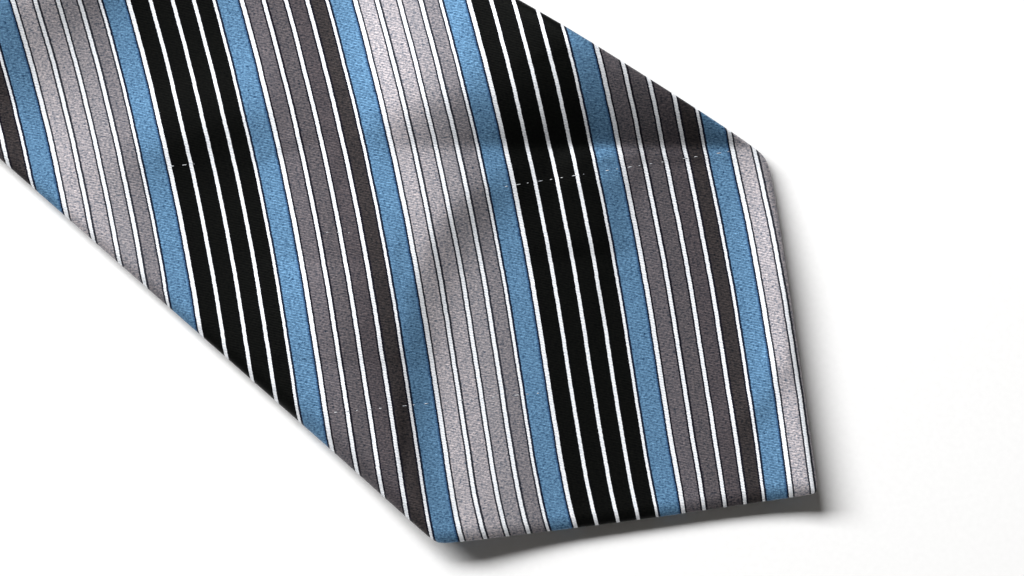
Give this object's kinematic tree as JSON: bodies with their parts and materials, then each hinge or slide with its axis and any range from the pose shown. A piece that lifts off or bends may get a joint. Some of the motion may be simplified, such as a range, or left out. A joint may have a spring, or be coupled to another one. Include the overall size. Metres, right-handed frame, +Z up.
{
  "type": "necktie",
  "caption": "Striped necktie with its wide pointed end laid flat, face up, and the rest rolled into an upright roll behind it.",
  "frame": {"origin": "centre of the bounding box's base, on the table that the tie lies on", "axes": "+X along the flat blade towards its tip, +Y across the tie, +Z up out of its face"},
  "size_m": [0.3234, 0.095, 0.0794],
  "materials": {
    "striped_silk": "satin",
    "interlining": "matte",
    "tipping": "satin",
    "label": "satin",
    "thread": "satin"
  },
  "bodies": {
    "roll": {"rolled_blade_shell": "striped_silk", "neck_shell": "striped_silk", "tail_shell": "striped_silk", "rolled_interlining": "interlining", "tail_interlining": "interlining", "tail_tipping": "tipping", "tail_bar_tack": "thread", "rolled_slip_stitch": "thread", "front_joining_seam": "thread", "rear_joining_seam": "thread", "slip_stitch_reserve_loop": "thread"},
    "blade": {"blade_shell": "striped_silk", "blade_interlining": "interlining", "blade_tipping": "tipping", "keeper_loop": "striped_silk", "keeper_loop_stitches": "thread", "brand_label": "label", "brand_label_stitches": "thread", "care_label_stitch": "thread", "blade_bar_tack": "thread", "blade_hem_stitches": "thread", "blade_slip_stitch": "thread"},
    "care_label": {"care_label": "label"}
  },
  "joints": [
    {"name": "blade_lift", "type": "hinge", "parent": "roll", "child": "blade", "pos_m": [-0.06432, 0, 0.003], "axis": [0, -1, 0], "range_deg": [0, 105]},
    {"name": "care_label_flip", "type": "hinge", "parent": "blade", "child": "care_label", "pos_m": [0.05568, 0, 0.0002], "axis": [0, 1, 0], "range_deg": [0, 120]}
  ]
}
